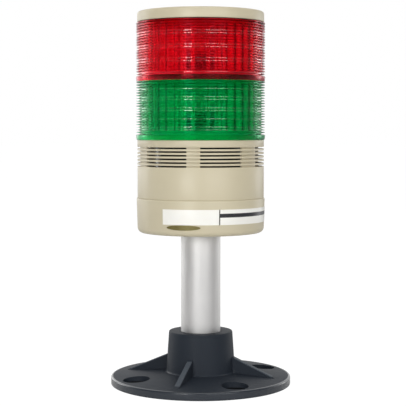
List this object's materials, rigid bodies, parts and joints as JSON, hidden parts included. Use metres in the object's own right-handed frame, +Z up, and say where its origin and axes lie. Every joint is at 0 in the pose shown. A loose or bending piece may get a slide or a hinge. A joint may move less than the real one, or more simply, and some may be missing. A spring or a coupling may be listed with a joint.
{
  "type": "stack light",
  "caption": "Signal tower with red and green ribbed lamp tiers over a louvred sounder housing, on an aluminium pole with a round gusseted foot.",
  "frame": {"origin": "centre of the foot's underside", "axes": "+Z up along the pole, -Y towards the front label's side, +X to the right seen from the front"},
  "size_m": [0.1, 0.1, 0.2058],
  "materials": {
    "foot_plastic": "fine satin moulded",
    "pole_aluminium": "satin anodised tube",
    "pole_ring_metal": "as cast",
    "screw_steel": "zinc plated",
    "housing_plastic": "satin moulded beige",
    "label_white": "smooth film, bare",
    "sticker_gold": "metallic film, bare",
    "board_green": "solder mask",
    "terminal_plastic": "moulded",
    "can_metal": "sleeved can",
    "black_plastic": "moulded black",
    "plate_plastic": "moulded white",
    "brass": "bright",
    "lamp_white": "milky diffuser",
    "green_lens": "transparent, ribbed",
    "red_lens": "transparent, ribbed",
    "seal_rubber": "matt"
  },
  "bodies": {
    "root": {"mount_flange": "foot_plastic", "foot_grub_screw": "screw_steel", "pole": "pole_aluminium", "pole_ring": "pole_ring_metal", "pole_ring_grub_screw": "screw_steel", "pole_ring_screws": "screw_steel", "base_housing": "housing_plastic", "front_label": "label_white", "rating_label": "label_white", "oval_sticker": "sticker_gold", "main_board": "board_green", "board_screws": "screw_steel", "terminal_block": "terminal_plastic", "terminal_screws": "screw_steel", "capacitor": "can_metal", "driver_chip": "black_plastic", "buzzer_housing": "housing_plastic", "sounder_plate": "plate_plastic", "sounder": "black_plastic", "sounder_screws": "screw_steel", "green_plate": "plate_plastic", "green_socket": "black_plastic", "green_contact": "brass", "green_lamp": "lamp_white", "green_lens": "green_lens", "red_plate": "plate_plastic", "red_socket": "black_plastic", "red_contact": "brass", "red_lamp": "lamp_white", "red_lens": "red_lens", "cap_seal": "seal_rubber", "head_cap": "housing_plastic", "tie_screws": "screw_steel"}
  },
  "joints": []
}
